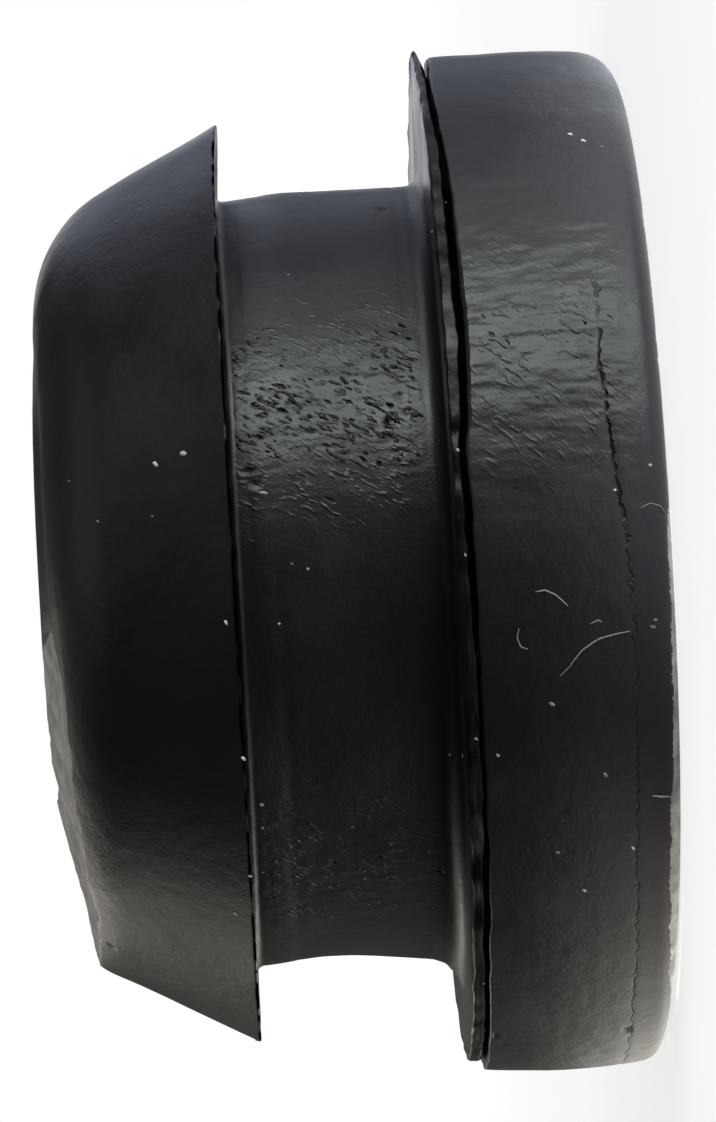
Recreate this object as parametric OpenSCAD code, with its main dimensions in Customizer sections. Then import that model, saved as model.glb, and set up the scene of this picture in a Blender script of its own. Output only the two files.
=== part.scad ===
// Push-in isolator bushing, moulded in one piece from black rubber.
// It stands on its flange with +Z along the bore. A round panel hole seats in the groove
// between the flange and the barb, and the tapered nose is squeezed through that hole.

/* [Overall] */
// Height from the flange's flat face to the tip of the nose
overall_h = 14.7; // [13:0.1:18]
// Outer diameter of the flange at its widest
flange_d = 25.4; // [24.5:0.1:36]

/* [Flange] */
// Thickness from the flat face to the face that meets the panel
flange_t = 4.9; // [4:0.1:6.5]
// Radius of the crowned outer wall, seen in section
crown_r = 18; // [10:1:60]
// Radius of the corner between the flat face and the outer wall
flange_corner_r = 0.5; // [0.2:0.05:1.5]
// Height of the step on the panel side of the rim
rim_step_h = 0.45; // [0.3:0.05:1]
// How far the step stands in from the outer wall
rim_step_w = 0.25; // [0.1:0.05:0.8]
// Edge radius of the step
rim_edge_r = 0.1; // [0.05:0.01:0.25]

/* [Panel groove] */
// Diameter at the bottom of the groove, which is the panel's hole size
groove_d = 19.05; // [15:0.05:20]
// Width of the groove at its bottom, from the flange to the barb
groove_w = 5.1; // [3:0.05:6]
// Fillet between the groove and the flange
flange_fillet_r = 0.4; // [0.1:0.05:1]
// Fillet between the groove and the back of the barb
barb_fillet_r = 0.2; // [0.1:0.05:1]

/* [Barb and nose] */
// Diameter at the barb's lip
barb_d = 22.9; // [21:0.1:24.4]
// How far the lip hangs back over the groove
lip_overhang = 0.02; // [0:0.01:0.4]
// Edge radius of the lip
lip_r = 0.06; // [0.05:0.01:0.4]
// Half angle of the lead-in cone
nose_angle = 28.5; // [15:0.5:35]
// Radius that blends the cone into the end of the nose
nose_r = 3.3; // [0.5:0.1:5]

/* [Bore] */
// Diameter of the bore that takes the bolt or its spacer tube
bore_d = 9.5; // [6:0.1:11.5]
// Chamfer at both mouths of the bore
bore_chamfer = 0.4; // [0.1:0.05:1]

/* [Hidden] */

$fn = 96;
// Overlap that joins solids, reach of a cut past the surface, and the least flat left by a blend
eps = 0.01;
past = 1;
// A rounding is this much larger, so that it crosses the sides it blends and leaves no sliver
graze = 0.0005;
min_land = 0.2;

flange_r = flange_d / 2;
groove_r = groove_d / 2;
barb_r = barb_d / 2;
bore_r = bore_d / 2;
mouth_r = bore_r + bore_chamfer;

// Crowned wall: an arc whose widest point is half way up the flange.
crown_z = flange_t / 2;
crown_x = flange_r - crown_r;
function wall_r(z) = crown_x + sqrt(pow(crown_r, 2) - pow(z - crown_z, 2));

// Corner circle that touches both the flat face and the crowned wall from inside.
corner_z = flange_corner_r;
corner_x = crown_x + sqrt(pow(crown_r - flange_corner_r, 2) - pow(corner_z - crown_z, 2));
corner_touch = [crown_x, crown_z]
    + crown_r / (crown_r - flange_corner_r) * ([corner_x, corner_z] - [crown_x, crown_z]);

// Step at the panel side of the rim.
step_z = flange_t - rim_step_h;
step_r = wall_r(step_z) - rim_step_w;

// Barb: its back leans towards the flange, so the lip overhangs the groove.
root = [groove_r, flange_t + groove_w];
lip = [barb_r, root.y - lip_overhang];

// Fillets stay within the step that they stand in.
flange_step = step_r - groove_r;
flange_blend_r = min(flange_fillet_r, flange_step - rim_edge_r - min_land);
barb_blend_r = min(barb_fillet_r, (barb_r - groove_r - lip_r) * 0.6);

// Cone: from the lip up to the plane of the nose's end.
cone_end = [barb_r - (overall_h - lip.y) * tan(nose_angle), overall_h];
// The blend leaves a flat round the bore's mouth and a straight stretch of cone.
nose_turn = 90 - nose_angle;
blend_room = min(cone_end.x - mouth_r, norm(cone_end - lip) - 2 * lip_r) - min_land;
nose_blend_r = min(nose_r, blend_room / tan(nose_turn / 2));

// The sliver between the corner p and an arc of radius r that touches both of its sides,
// which run from p towards a and towards b. Taken off an outer corner it rounds the edge,
// added to an inner corner it makes the fillet.
module corner_sliver(p, a, b, r) {
    u = (a - p) / norm(a - p);
    v = (b - p) / norm(b - p);
    half = acos(u * v) / 2;
    touch = r / tan(half);
    middle = (u + v) / norm(u + v);
    centre = p + middle * r / sin(half);
    difference() {
        polygon([p - eps * middle, p + touch * u, centre, p + touch * v]);
        translate(centre) circle(r + graze);
    }
}

// Section of the flange: crowned outside, rounded at the flat face, stepped at the panel side.
module flange_section() {
    difference() {
        intersection() {
            square([flange_r + past, flange_t]);
            translate([crown_x, crown_z]) circle(crown_r);
        }
        difference() {
            polygon([
                [corner_x, corner_z], [corner_x, -past],
                [flange_r + past, -past], [flange_r + past, corner_touch.y], corner_touch
            ]);
            translate([corner_x, corner_z]) circle(flange_corner_r + graze);
        }
        translate([step_r, step_z]) square([flange_r, rim_step_h + past]);
        corner_sliver([step_r, flange_t], [step_r, 0], [0, flange_t], rim_edge_r);
    }
}

// Section of the neck between the flange and the barb, with a fillet at each end.
module neck_section() {
    translate([0, eps]) square([groove_r, root.y]);
    corner_sliver([groove_r, flange_t], [flange_r, flange_t], root, flange_blend_r);
    corner_sliver(root, [groove_r, flange_t], lip, barb_blend_r);
}

// Section of the barb and the lead-in cone, with its lip and its end rounded.
module nose_section() {
    difference() {
        polygon([[0, root.y], root, lip, cone_end, [0, overall_h]]);
        corner_sliver(lip, root, cone_end, lip_r);
        corner_sliver(cone_end, lip, [0, overall_h], nose_blend_r);
    }
}

module bushing() {
    color("#1c1b1e")
    difference() {
        rotate_extrude() {
            flange_section();
            neck_section();
            nose_section();
        }
        translate([0, 0, -past]) cylinder(h = overall_h + 2 * past, r = bore_r);
        translate([0, 0, -eps]) cylinder(h = bore_chamfer + eps, r1 = mouth_r + eps, r2 = bore_r);
        translate([0, 0, overall_h - bore_chamfer])
            cylinder(h = bore_chamfer + eps, r1 = bore_r, r2 = mouth_r + eps);
    }
}

bushing();
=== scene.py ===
import math

import bpy
import numpy as np
from mathutils import Matrix, Vector


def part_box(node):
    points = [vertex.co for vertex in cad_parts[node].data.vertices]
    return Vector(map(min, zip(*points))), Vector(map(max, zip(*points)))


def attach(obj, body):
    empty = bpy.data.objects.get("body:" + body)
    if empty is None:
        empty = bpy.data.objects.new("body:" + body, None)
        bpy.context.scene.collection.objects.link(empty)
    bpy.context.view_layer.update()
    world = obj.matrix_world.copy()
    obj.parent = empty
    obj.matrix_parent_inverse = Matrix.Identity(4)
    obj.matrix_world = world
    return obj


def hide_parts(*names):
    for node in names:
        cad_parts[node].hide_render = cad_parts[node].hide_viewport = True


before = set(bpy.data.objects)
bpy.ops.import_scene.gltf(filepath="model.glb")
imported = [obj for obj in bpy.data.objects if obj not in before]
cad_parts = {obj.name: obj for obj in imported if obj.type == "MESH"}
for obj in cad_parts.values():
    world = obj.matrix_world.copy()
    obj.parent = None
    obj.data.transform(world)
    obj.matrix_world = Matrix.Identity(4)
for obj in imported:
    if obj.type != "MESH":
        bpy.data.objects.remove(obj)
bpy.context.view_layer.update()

# ---------------------------------------------------------------------------------------------
# Camera. It stands level with the panel groove, about five times the part's width away, and is
# rolled a quarter turn: the bore's axis lies across the frame, with the nose on the left.
# ---------------------------------------------------------------------------------------------
MM = 0.001
FRAME_WIDE = 716
FRAME_HIGH = 1122
FOCAL_PX = 5347
SENSOR = 36.0
CAMERA_TILT = math.radians(-1.17)
CAMERA_ROLL = math.radians(3.18)
PART_RIGHT, PART_UP, PART_AHEAD = 6.914, 0.139, 133.89

ahead = Vector((0, math.cos(CAMERA_TILT), math.sin(CAMERA_TILT)))
level_up = Vector((0, -math.sin(CAMERA_TILT), math.cos(CAMERA_TILT)))
sideways = Vector((1, 0, 0))
view_right = -math.sin(CAMERA_ROLL) * sideways - math.cos(CAMERA_ROLL) * level_up
view_up = math.cos(CAMERA_ROLL) * sideways - math.sin(CAMERA_ROLL) * level_up
camera_mm = -(PART_RIGHT * view_right + PART_UP * view_up + PART_AHEAD * ahead)

lens = bpy.data.cameras.new("camera")
lens.sensor_width = SENSOR
lens.lens = SENSOR * FOCAL_PX / FRAME_HIGH
lens.clip_start = 0.01
lens.clip_end = 20
camera = bpy.data.objects.new("camera", lens)
camera.matrix_world = Matrix.Translation(camera_mm * MM) @ Matrix(
    (view_right, view_up, -ahead)
).transposed().to_4x4()
bpy.context.scene.collection.objects.link(camera)
bpy.context.scene.camera = camera
bpy.context.scene.view_settings.view_transform = "Standard"


# ---------------------------------------------------------------------------------------------
# Studio. A pale floor in a white room, a bright softbox low at the camera's right, a dim panel
# next to it, five panels behind the part on both sides and a faint one overhead. Three soft
# pools of light on the floor are what the rubber's gloss shows of it.
# ---------------------------------------------------------------------------------------------
def linear(code):
    """A hex colour as linear red, green, blue and 1: each share of 255 goes through the sRGB curve."""
    share = np.array([int(code[i : i + 2], 16) for i in (1, 3, 5)]) / 255
    low = share / 12.92
    high = ((share + 0.055) / 1.055) ** 2.4
    return (*np.where(share <= 0.04045, low, high).tolist(), 1.0)


def add_node(tree, kind, inputs=(), **settings):
    """Adds a node. Settings are its own properties; inputs gives sockets a constant or an output."""
    made = tree.nodes.new(kind)
    for key, value in settings.items():
        setattr(made, key, value)
    for key, value in dict(inputs).items():
        if isinstance(value, bpy.types.NodeSocket):
            tree.links.new(value, made.inputs[key])
        else:
            made.inputs[key].default_value = value
    return made


def new_material(name):
    """An empty material and its node tree."""
    material = bpy.data.materials.new(name)
    material.use_nodes = True
    material.node_tree.nodes.clear()
    return material, material.node_tree


AIM_HEIGHT = 7 * MM


def softbox(name, bearing, lift, distance, wide, high, radiance, tint):
    """A rectangular lamp aimed at the groove. Bearing is in degrees from the camera's side towards
    +X, lift is its centre's elevation, and its power is pi times its area times its radiance."""
    lamp = bpy.data.lights.new(name, "AREA")
    lamp.shape = "RECTANGLE"
    lamp.size = wide
    lamp.size_y = high
    lamp.energy = math.pi * wide * high * radiance
    lamp.color = linear(tint)[:3]
    turn, rise = math.radians(bearing), math.radians(lift)
    away = Vector((math.sin(turn) * math.cos(rise), -math.cos(turn) * math.cos(rise), math.sin(rise)))
    holder = bpy.data.objects.new(name, lamp)
    holder.location = Vector((0, 0, AIM_HEIGHT)) + away * distance
    holder.rotation_euler = away.to_track_quat("Z", "Y").to_euler()
    holder.visible_camera = False
    bpy.context.scene.collection.objects.link(holder)
    return holder


# Bearing and lift in degrees, distance, width and height in metres, radiance, tint.
softbox("key_softbox", 51, 12, 0.35, 0.16, 0.19, 7.0, "#f6fffd")
softbox("side_panel", 84, 14, 0.5, 0.32, 0.26, 1.15, "#f0f5ff")
softbox("right_panel", 136, 15, 0.6, 0.50, 0.32, 0.70, "#dbe4ff")
softbox("left_panel", -128, 32, 0.6, 0.92, 0.20, 1.15, "#fdfaf0")
softbox("low_left_panel", -128, 10, 0.6, 0.62, 0.20, 0.10, "#fff8ec")
softbox("back_panel", 170, 6, 0.5, 0.11, 0.14, 2.4, "#f4f4fa")
softbox("high_panel", -158, 34, 0.6, 0.30, 0.16, 2.0, "#fff6ea")
softbox("top_panel", 85, 76, 0.6, 0.50, 0.40, 0.34, "#eef2ff")

EASED = {"interpolation_type": "SMOOTHSTEP"}
ROOM_STRENGTH = 0.055
world = bpy.data.worlds.new("studio")
world.use_nodes = True
world.node_tree.nodes.clear()
ray = add_node(world.node_tree, "ShaderNodeLightPath")
room = add_node(
    world.node_tree, "ShaderNodeBackground", {"Color": linear("#fff6f0"), "Strength": ROOM_STRENGTH}
)
white = add_node(world.node_tree, "ShaderNodeBackground", {"Color": linear("#ffffff"), "Strength": 1.0})
seen = add_node(
    world.node_tree,
    "ShaderNodeMixShader",
    {0: ray.outputs["Is Camera Ray"], 1: room.outputs[0], 2: white.outputs[0]},
)
add_node(world.node_tree, "ShaderNodeOutputWorld", {"Surface": seen.outputs[0]})
bpy.context.scene.world = world

FLOOR_HALF = 1.5
# The paper's own glow in the view, and how far from the part it begins and ends to rise, in metres.
NEAR_GLOW, FAR_GLOW = 0.74, 1.02
GLOW_FROM, GLOW_TO = 0.05, 0.35
# Pools of light: bearing in degrees, cosine of the angle at which each starts, strength and tint.
POOLS = [
    (50, 0.3, 0.95, "#f0f6ff"),
    (-100, 0.15, 1.5, "#fdf9ee"),
    (0, -2.5, 0.26, "#ffffff"),
]
POOL_FULL_AT = 0.95
POOLS_FROM, POOLS_TO = 0.02, 0.05
floor_mesh = bpy.data.meshes.new("floor")
floor_mesh.from_pydata(
    [(x * FLOOR_HALF, y * FLOOR_HALF, 0) for x, y in ((-1, -1), (1, -1), (1, 1), (-1, 1))],
    [],
    [(0, 1, 2, 3)],
)
floor = bpy.data.objects.new("floor", floor_mesh)
bpy.context.scene.collection.objects.link(floor)
# Matt white paper: even and almost shadowless to the eye. To what lies on it, it gives a dim sheen and pools
# of painted light that glow on it.
paper, tree = new_material("white paper")
place = add_node(tree, "ShaderNodeTexCoord")
reach = add_node(tree, "ShaderNodeVectorMath", {0: place.outputs["Object"]}, operation="LENGTH")
glow = add_node(
    tree,
    "ShaderNodeMapRange",
    {
        "Value": reach.outputs["Value"],
        "From Min": GLOW_FROM,
        "From Max": GLOW_TO,
        "To Min": NEAR_GLOW,
        "To Max": FAR_GLOW,
    },
)
ray = add_node(tree, "ShaderNodeLightPath")
lit = add_node(tree, "ShaderNodeBsdfDiffuse", {"Color": linear("#c4c4c2")})
shine = add_node(tree, "ShaderNodeEmission", {"Strength": glow.outputs["Result"]})
both = add_node(tree, "ShaderNodeAddShader", {0: lit.outputs[0], 1: shine.outputs[0]})
sheen = add_node(tree, "ShaderNodeBsdfGlossy", {"Color": linear("#dcdcda"), "Roughness": 0.12})
outward = add_node(tree, "ShaderNodeVectorMath", {0: place.outputs["Object"]}, operation="NORMALIZE")
near = add_node(
    tree,
    "ShaderNodeMapRange",
    {
        "Value": reach.outputs["Value"],
        "From Min": POOLS_FROM,
        "From Max": POOLS_TO,
        "To Min": 1,
        "To Max": 0,
    },
)
pools = sheen.outputs[0]
# Each pool is painted light: an emission on the floor that the camera doesn't see, but that the part's
# reflections and shading do.
for bearing, start, strength, tint in POOLS:
    towards = (math.sin(math.radians(bearing)), -math.cos(math.radians(bearing)), 0)
    facing = add_node(
        tree, "ShaderNodeVectorMath", {0: outward.outputs[0], 1: towards}, operation="DOT_PRODUCT"
    )
    share = add_node(
        tree,
        "ShaderNodeMapRange",
        {
            "Value": facing.outputs["Value"],
            "From Min": start,
            "From Max": POOL_FULL_AT,
            "To Max": strength,
        },
        **EASED,
    )
    level = add_node(
        tree,
        "ShaderNodeMath",
        {0: share.outputs["Result"], 1: near.outputs["Result"]},
        operation="MULTIPLY",
    )
    pool = add_node(tree, "ShaderNodeEmission", {"Color": linear(tint), "Strength": level.outputs[0]})
    pools = add_node(tree, "ShaderNodeAddShader", {0: pools, 1: pool.outputs[0]}).outputs[0]
seen = add_node(
    tree,
    "ShaderNodeMixShader",
    {0: ray.outputs["Is Camera Ray"], 1: pools, 2: both.outputs[0]},
)
add_node(tree, "ShaderNodeOutputMaterial", {"Surface": seen.outputs[0]})
floor_mesh.materials.append(paper)

# ---------------------------------------------------------------------------------------------
# Bushing. One solid moulding of black rubber: a thick flange, a groove for the panel's edge and
# a barbed taper nose round a plain bore. It came out of a two-part mould, so the flange's rim
# and wall carry the mould's joints, and the nose end is where the flash was cut away.
# ---------------------------------------------------------------------------------------------
part_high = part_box("bushing")[1]
FLANGE_R = part_high.x / MM
TALL = part_high.z / MM
FLANGE_T = 4.9
CROWN_R = 18.0
LAND_Z, LAND_R = 4.45, 12.34
GROOVE_R = 9.525
GROOVE_TOP = 10.0
LIP_R, LIP_Z = 11.45, 9.98
NOSE_ANGLE = math.radians(28.5)
BORE_R, MOUTH = 4.75, 0.4
FLANGE_CORNER_R, WALL_EDGE_R, RIM_EDGE_R = 0.5, 0.03, 0.08
FLANGE_FILLET_R, BARB_FILLET_R = 0.4, 0.2
LIP_EDGE_R, NOSE_R, MOUTH_EDGE_R = 0.03, 3.3, 0.06
# Longest side of a rounded corner, and how many points the outline is laid out in again.
CORNER_STEP = 0.02
OUTLINE_POINTS = 6001


def crowned(height):
    """Radius of the flange's wall: an arc whose widest point is half way up the flange."""
    return FLANGE_R - CROWN_R + np.sqrt(CROWN_R**2 - (height - FLANGE_T / 2) ** 2)


def rounded(corners, step):
    """Closed outline through (r, z, radius) corners. Each corner is cut back to the two points where
    a circle of its radius touches both sides, and that circle's short arc joins them."""
    spots = np.array([corner[:2] for corner in corners])
    outline = []
    for here, before, after, corner in zip(spots, np.roll(spots, 1, 0), np.roll(spots, -1, 0), corners):
        radius = corner[2]
        if radius == 0:
            outline.append(here[None])
            continue
        u = (before - here) / np.linalg.norm(before - here)
        v = (after - here) / np.linalg.norm(after - here)
        half = math.acos(u @ v) / 2
        centre = here + (u + v) / np.linalg.norm(u + v) * radius / math.sin(half)
        start = here + u * radius / math.tan(half) - centre
        sweep = math.pi - 2 * half
        side = np.sign(start[0] * (here - centre)[1] - start[1] * (here - centre)[0])
        turns = np.linspace(0, side * sweep, max(3, int(sweep * radius / step)))
        first = math.atan2(start[1], start[0])
        outline.append(centre + radius * np.stack([np.cos(first + turns), np.sin(first + turns)], 1))
    return np.concatenate(outline)


def paced(length, spacing):
    """Places along a length, close together where the spacing is small: equal steps of the running
    sum of one over the spacing."""
    fine = np.linspace(0, length, 40001)
    pace = 1 / spacing(fine)
    run = np.concatenate([[0], np.cumsum((pace[1:] + pace[:-1]) / 2 * np.diff(fine))])
    count = round(run[-1])
    return np.interp(np.arange(count) / count * run[-1], run, fine)


LATTICE_HEIGHTS = 2**16
LATTICE_HASH = (73856093, 19349663, 83492791)


def lumps(points, size, seed):
    """Smooth random relief from -1 to 1: random heights on a cubic lattice of this spacing, blended
    between the eight nearest corners with the curve 3t^2 - 2t^3. Each corner's height is picked by
    its three whole numbers, each times a large one, joined bit by bit."""
    heights = np.random.default_rng(seed).uniform(-1, 1, LATTICE_HEIGHTS)
    cell = points / size
    base = np.floor(cell).astype(np.int64)
    t = cell - base
    t = t * t * (3 - 2 * t)
    total = np.zeros(points.shape[:-1])
    for corner in np.ndindex(2, 2, 2):
        mixed = (base + corner) * LATTICE_HASH
        pick = (mixed[..., 0] ^ mixed[..., 1] ^ mixed[..., 2]) % LATTICE_HEIGHTS
        total += heights[pick] * np.prod(np.where(corner, t, 1 - t), axis=-1)
    return total


nose_end_r = LIP_R - (TALL - LIP_Z) * math.tan(NOSE_ANGLE)
crown_z = np.linspace(0.55, LAND_Z - 0.1, 9)
corners = rounded(
    [
        (BORE_R, TALL / 2, 0),
        (BORE_R, MOUTH, MOUTH_EDGE_R),
        (BORE_R + MOUTH, 0, MOUTH_EDGE_R),
        (crowned(0), 0, FLANGE_CORNER_R),
        *[(crowned(z), z, 0) for z in crown_z],
        (crowned(LAND_Z), LAND_Z, WALL_EDGE_R),
        (LAND_R, LAND_Z, WALL_EDGE_R),
        (LAND_R, FLANGE_T, RIM_EDGE_R),
        (GROOVE_R, FLANGE_T, FLANGE_FILLET_R),
        (GROOVE_R, GROOVE_TOP, BARB_FILLET_R),
        (LIP_R, LIP_Z, LIP_EDGE_R),
        (nose_end_r, TALL, NOSE_R),
        (BORE_R + MOUTH, TALL, MOUTH_EDGE_R),
        (BORE_R, TALL - MOUTH, MOUTH_EDGE_R),
    ],
    CORNER_STEP,
)
closed = np.concatenate([corners, corners[:1]])
run_mm = np.concatenate([[0], np.cumsum(np.linalg.norm(np.diff(closed, axis=0), axis=1))])
around_mm = run_mm[-1]
fine_mm = np.linspace(0, around_mm, OUTLINE_POINTS)
closed = np.stack([np.interp(fine_mm, run_mm, closed[:, k]) for k in (0, 1)], axis=1)
run_mm = fine_mm
outline = closed[:-1]


def along(radius, height):
    """How far along the outline its nearest point to a radius and height lies, in mm."""
    radius, height = np.atleast_1d(radius), np.atleast_1d(height)
    gap = np.hypot(outline[:, 0] - radius[:, None], outline[:, 1] - height[:, None])
    return run_mm[gap.argmin(axis=1)]


# Runs along the outline, in mm, of the wall's edge, the rim's face, the mould's joint, the lip, the
# flange's fillet, both ends of the groove's wall and the trimmed edge.
RIM_AT = along(crowned(LAND_Z), LAND_Z)[0]
FACE_AT = along(LAND_R, FLANGE_T)[0]
PARTING_AT = along(FLANGE_R, 1.2)[0]
LIP_AT = along(LIP_R, LIP_Z)[0]
FILLET_AT = along(GROOVE_R + 0.12, FLANGE_T + 0.12)[0]
NECK_AT = along(GROOVE_R, FLANGE_T + FLANGE_FILLET_R)[0]
BARB_AT = along(GROOVE_R, GROOVE_TOP - BARB_FILLET_R)[0]
TRIM_AT = along(8.6, 14.25)[0]


# Spacing of the rows in mm in the bore, on the flange's end, on the nose's end, on the flange's
# inner face and elsewhere, and how fast it opens away from an edge.
BORE_ROWS, END_ROWS, NOSE_ROWS, FACE_ROWS, WALL_ROWS = 0.9, 0.7, 0.3, 0.2, 0.105
ROWS_OPEN = 0.25
ON_LEVEL = 0.02


def row_spacing(s):
    """Spacing of the rows along the outline: close at the mould's joints and edges, open in the bore."""
    radius = np.interp(s, run_mm, closed[:, 0])
    height = np.interp(s, run_mm, closed[:, 1])
    wide = np.where(radius < BORE_R + MOUTH + 0.1, BORE_ROWS, WALL_ROWS)
    wide = np.where((height < ON_LEVEL) & (radius < 11.4), END_ROWS, wide)
    wide = np.where((height > TALL - ON_LEVEL) & (radius < 6.8), NOSE_ROWS, wide)
    on_face = (height > FLANGE_T - ON_LEVEL) & (height < FLANGE_T + ON_LEVEL) & (radius < 11.8)
    wide = np.where(on_face, FACE_ROWS, wide)
    for mark, close in (
        (PARTING_AT, 0.05),
        (RIM_AT - 0.04, 0.02),
        (RIM_AT + 0.26, 0.02),
        (RIM_AT + 0.42, 0.02),
        (RIM_AT + 0.55, 0.025),
        (FACE_AT, 0.025),
        (LIP_AT, 0.025),
        (NECK_AT, 0.06),
        (BARB_AT, 0.05),
        (TRIM_AT, 0.05),
    ):
        wide = np.minimum(wide, close + ROWS_OPEN * np.abs(s - mark))
    return wide


# Spacing of the columns in degrees where the softbox shows every dent, on the rest of the
# camera's side, and behind.
LIT_COLUMNS, FRONT_COLUMNS, BACK_COLUMNS = 0.38, 0.77, 2.9
LIT_FROM, LIT_TO, FRONT_TO = 4, 50, 93


def column_spacing(bearing):
    """Spacing of the columns in degrees: closest in the softbox's light, widest behind."""
    wide = np.where(np.abs(bearing) < FRONT_TO, FRONT_COLUMNS, BACK_COLUMNS)
    return np.where((bearing > LIT_FROM) & (bearing < LIT_TO), LIT_COLUMNS, wide)


rows_mm = paced(around_mm, row_spacing)
turns = np.radians(paced(360, lambda turn: column_spacing(turn - 180)) - 180)
ring = np.interp(rows_mm, run_mm, closed[:, 0])
NUDGE = 0.01
next_mm = np.stack([np.interp((rows_mm + NUDGE) % around_mm, run_mm, closed[:, k]) for k in (0, 1)])
last_mm = np.stack([np.interp((rows_mm - NUDGE) % around_mm, run_mm, closed[:, k]) for k in (0, 1)])
tangent = (next_mm - last_mm) / np.linalg.norm(next_mm - last_mm, axis=0)
out_r, out_z = tangent[1], -tangent[0]


# How far before and behind the bore's axis a line of sight is walked, and in what steps, in mm.
WALK_BEFORE, WALK_BEHIND, WALK_STEP = 14, 4, 0.02
OUTSIDE_R = 6.9


def sight_hits(spots):
    """Where the camera sees spots, given in pixels of its frame, on the outline turned about the bore.
    Each line of sight is walked until its radius drops below the outline's; gives turn and run."""
    spots = np.array(spots, float)
    wide = (spots[:, :1] - FRAME_WIDE / 2) / FOCAL_PX
    high = (FRAME_HIGH / 2 - spots[:, 1:]) / FOCAL_PX
    lines = np.array(ahead) + wide * np.array(view_right) + high * np.array(view_up)
    reach = np.arange(PART_AHEAD - WALK_BEFORE, PART_AHEAD + WALK_BEHIND, WALK_STEP)
    walk = np.array(camera_mm) + lines[:, None] * reach[:, None]
    outer = outline[(outline[:, 0] > OUTSIDE_R) & (outline[:, 1] > 0.01)]
    order = np.argsort(outer[:, 1], kind="stable")
    limit = np.interp(walk[..., 2], outer[order, 1], outer[order, 0], left=0, right=0)
    inside = np.hypot(walk[..., 0], walk[..., 1]) < limit
    first = walk[np.arange(len(spots)), inside.argmax(axis=1)]
    turn = np.arctan2(first[:, 0], -first[:, 1])
    return turn, along(np.hypot(first[:, 0], first[:, 1]), first[:, 2])


def seen_path(spots):
    """A line across the part as the camera sees it: its turns in order and its runs."""
    turn, run = sight_hits(spots)
    order = np.argsort(turn)
    return turn[order], run[order]


def fade(value, low, high):
    """0 below low, 1 above high, and the curve 3t^2 - 2t^3 between."""
    t = np.clip((value - low) / (high - low), 0, 1)
    return t * t * (3 - 2 * t)


def bell(value, middle, half):
    """A bump of height 1 that falls to a half at this distance from its middle."""
    return np.exp(-math.log(2) * ((value - middle) / half) ** 2)


def on_ring(radius, height, turn):
    """Points in mm at a radius and height, at an angle from the camera's side towards +X."""
    return np.stack(np.broadcast_arrays(radius * np.sin(turn), -radius * np.cos(turn), height), -1)


# Joint of the mould round the flange's wall, and the trim line on the nose, as the camera sees them.
PARTING_SEEN = [
    (597, 300),
    (600, 358),
    (606, 402),
    (610, 433),
    (615, 468),
    (619, 500),
    (625, 528),
    (629, 574),
    (633, 626),
    (635, 722),
    (637, 765),
    (636, 845),
    (636, 954),
    (632, 1000),
]
TRIM_SEEN = [
    (40, 554),
    (44, 600),
    (50, 640),
    (56, 700),
    (61, 750),
    (66, 790),
    (73, 825),
    (83, 876),
    (96, 908),
]
parting_turn, parting_run = seen_path(PARTING_SEEN)
trim_turn, trim_run = seen_path(TRIM_SEEN)

# Crevice beside the rim's land: bearing in degrees, height, half width in mm, and how open it is.
CREVICE = [
    (-180, 4.55, 0.055, 0.9),
    (-70, 4.53, 0.055, 1.0),
    (-55, 4.56, 0.045, 0.9),
    (-45, 4.55, 0.055, 1.0),
    (-33, 4.53, 0.055, 0.9),
    (-30, 4.53, 0.04, 0.35),
    (-10, 4.54, 0.04, 0.4),
    (-7, 4.55, 0.06, 0.9),
    (0, 4.56, 0.075, 1.0),
    (7, 4.59, 0.075, 1.0),
    (12, 4.62, 0.065, 1.0),
    (16, 4.56, 0.07, 1.0),
    (21, 4.48, 0.065, 1.0),
    (26, 4.47, 0.07, 1.0),
    (31, 4.51, 0.08, 1.0),
    (42, 4.52, 0.075, 1.0),
    (48, 4.54, 0.075, 0.8),
    (53, 4.56, 0.06, 0.65),
    (59, 4.62, 0.05, 0.8),
    (65, 4.66, 0.045, 1.0),
    (72, 4.64, 0.045, 1.0),
    (80, 4.58, 0.07, 1.0),
    (90, 4.57, 0.07, 1.0),
    (105, 4.55, 0.055, 0.9),
    (180, 4.55, 0.055, 0.9),
]


# Heights and depths in mm. Relief all over: the moulding's waviness, its ripple and its peel.
WAVE, RIPPLE, PEEL = 0.012, 0.005, 0.003
STREAK, POCK = 0.017, 0.012
JOINT_DEPTH, JOINT_HALF = 0.02, 0.08
LOW_CORE_STEP, HIGH_CORE_STEP = 0.012, 0.010
# Swellings at -X: the nose's corner, the flange's fillet, and the neck at its barb and at its foot.
NOSE_SWELL, FILLET_SWELL, BARB_SWELL, NECK_SWELL = 0.17, 0.2, 0.04, 0.26
# The slice: how far it lies below the trimmed edge, its roughness, and its slope by bearing.
SLICE_STEP, SLICE_ROUGH = 0.03, 0.02
SLICE_BEARINGS, SLICE_SLOPES = (-75, -55, -40, -22), (0.25, 0.21, 0.16, 0.14)
# The crevice: share of the table's width, and its depth where it is shut and what opening adds.
CREVICE_SHARE, CREVICE_SHUT, CREVICE_OPEN = 0.8, 0.15, 0.3
# The land: where the crevice is shut it stands out, and it is rough coarsely and finely.
SHUT_LAND, LAND_COARSE, LAND_FINE = 0.2, 0.028, 0.016
# At +X: the land's lug of flash, the wall's edge lifted, and the wall swollen.
LAND_LUG, EDGE_LIFT, WALL_SWELL = 0.52, 0.03, 0.09
FACE_ROUGH = 0.03
WORN_CORNER, BENT_END = 0.32, 0.15
SLIVER_HIGH, SLIVER_MORE, SLIVER_DEPTH = 0.11, 0.17, 0.03
NECK_LEAN, LIP_SAG = 0.15, 0.14
DROOP_BEARINGS, DROOPS = (-100, -76, -58, -40, -5, 35, 62), (0.0, 0.0, 0.05, 0.16, 0.26, 0.24, 0.09)


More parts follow.
